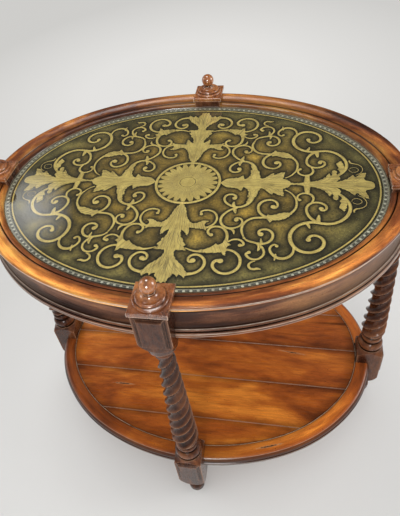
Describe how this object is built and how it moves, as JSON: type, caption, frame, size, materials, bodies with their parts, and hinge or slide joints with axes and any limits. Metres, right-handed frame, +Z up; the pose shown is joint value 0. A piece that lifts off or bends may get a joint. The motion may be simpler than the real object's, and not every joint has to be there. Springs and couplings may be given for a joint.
{
  "type": "accent table",
  "caption": "Oval accent table with a glass-covered decorated top in a moulded rim, twisted legs with ball finials, and a boarded oval shelf.",
  "frame": {"origin": "on the floor, below the centre of the oval top", "axes": "+X along the long axis of the oval, to the right as seen from the front, +Y away from the front, +Z up"},
  "size_m": [0.779, 0.617, 0.6834],
  "materials": {
    "rim_wood": "gloss",
    "apron_wood": "gloss",
    "border_wood": "gloss",
    "turned_wood": "gloss",
    "shelf_wood": "gloss",
    "hidden_wood": "matte",
    "panel_face": "satin",
    "gilt_line": "satin",
    "bead_strip": "satin",
    "glass": "gloss",
    "screw_steel": "satin",
    "glide_felt": "matte"
  },
  "bodies": {
    "root": {"rim_back_right": "rim_wood", "rim_back_left": "rim_wood", "rim_front_left": "rim_wood", "rim_front_right": "rim_wood", "apron_back_right": "apron_wood", "apron_back_left": "apron_wood", "apron_front_left": "apron_wood", "apron_front_right": "apron_wood", "shelf_border_back_right": "border_wood", "shelf_border_back_left": "border_wood", "shelf_border_front_left": "border_wood", "shelf_border_front_right": "border_wood", "glue_block_back_right": "hidden_wood", "glue_block_back_left": "hidden_wood", "glue_block_front_left": "hidden_wood", "glue_block_front_right": "hidden_wood", "leg_front": "turned_wood", "leg_right": "turned_wood", "leg_back": "turned_wood", "leg_left": "turned_wood", "cap_plate_front": "rim_wood", "cap_plate_right": "rim_wood", "cap_plate_back": "rim_wood", "cap_plate_left": "rim_wood", "finial_front": "rim_wood", "finial_right": "rim_wood", "finial_back": "rim_wood", "finial_left": "rim_wood", "foot_front": "turned_wood", "foot_right": "turned_wood", "foot_back": "turned_wood", "foot_left": "turned_wood", "sub_top": "hidden_wood", "decorated_panel": "panel_face", "brass_line": "gilt_line", "bead_border": "bead_strip", "glass_top": "glass", "shelf_board_1": "shelf_wood", "shelf_board_2": "shelf_wood", "shelf_board_3": "shelf_wood", "shelf_board_4": "shelf_wood", "shelf_board_5": "shelf_wood", "shelf_board_6": "shelf_wood", "shelf_batten_left": "hidden_wood", "shelf_batten_right": "hidden_wood", "apron_dowels": "hidden_wood", "shelf_dowels": "hidden_wood", "seat_screws": "screw_steel", "batten_screws": "screw_steel", "foot_glides": "glide_felt"}
  },
  "joints": []
}
